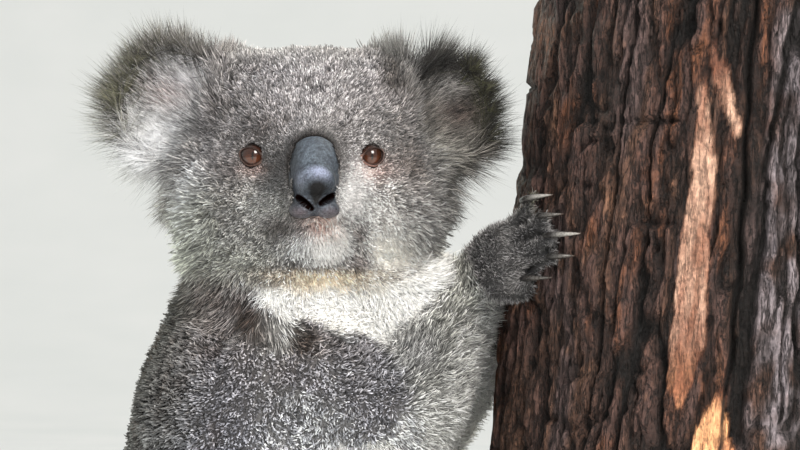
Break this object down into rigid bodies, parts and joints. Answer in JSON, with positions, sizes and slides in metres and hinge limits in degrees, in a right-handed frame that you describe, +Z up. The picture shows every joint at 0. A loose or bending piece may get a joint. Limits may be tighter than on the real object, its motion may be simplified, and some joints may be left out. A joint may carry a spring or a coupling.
{
  "type": "koala on a tree trunk perch",
  "caption": "Life-size koala clinging upright to a cut length of tree trunk, head turned outwards, on a flat display base with short rods.",
  "frame": {"origin": "centre of the base's underside, in the plane that rests on the floor", "axes": "+Z up along the trunk, -Y the way the animal's face looks, +X from the animal towards the trunk"},
  "size_m": [0.56, 0.38, 0.655],
  "materials": {
    "fur_grey": "grizzled grey fur",
    "fur_pale": "pale woolly fur",
    "nose_leather": "bare slate-grey skin, slightly moist",
    "eye_brown": "wet polished",
    "claw_horn": "smooth dark horn",
    "bark_brown": "deeply furrowed bark",
    "stand_black": "matt black lacquer",
    "stand_steel": "brushed"
  },
  "bodies": {
    "root": {"head": "fur_grey", "ear_right": "fur_grey", "ear_left": "fur_grey", "eye_right": "eye_brown", "eye_left": "eye_brown", "nose": "nose_leather", "neck": "fur_pale", "torso": "fur_grey", "arm_upper_right": "fur_grey", "forearm_right": "fur_grey", "hand_right": "fur_grey", "claw_hand_right_1": "claw_horn", "claw_hand_right_2": "claw_horn", "claw_hand_right_3": "claw_horn", "claw_hand_right_4": "claw_horn", "claw_hand_right_5": "claw_horn", "arm_upper_left": "fur_grey", "forearm_left": "fur_grey", "hand_left": "fur_grey", "claw_hand_left_1": "claw_horn", "claw_hand_left_2": "claw_horn", "claw_hand_left_3": "claw_horn", "claw_hand_left_4": "claw_horn", "claw_hand_left_5": "claw_horn", "thigh_right": "fur_grey", "shank_right": "fur_grey", "foot_right": "fur_grey", "claw_foot_right_2": "claw_horn", "claw_foot_right_3": "claw_horn", "claw_foot_right_4": "claw_horn", "claw_foot_right_5": "claw_horn", "thigh_left": "fur_grey", "shank_left": "fur_grey", "foot_left": "fur_grey", "claw_foot_left_2": "claw_horn", "claw_foot_left_3": "claw_horn", "claw_foot_left_4": "claw_horn", "claw_foot_left_5": "claw_horn", "perch_trunk": "bark_brown", "stand_base": "stand_black", "stand_rod_left": "stand_steel", "stand_rod_right": "stand_steel"}
  },
  "joints": []
}
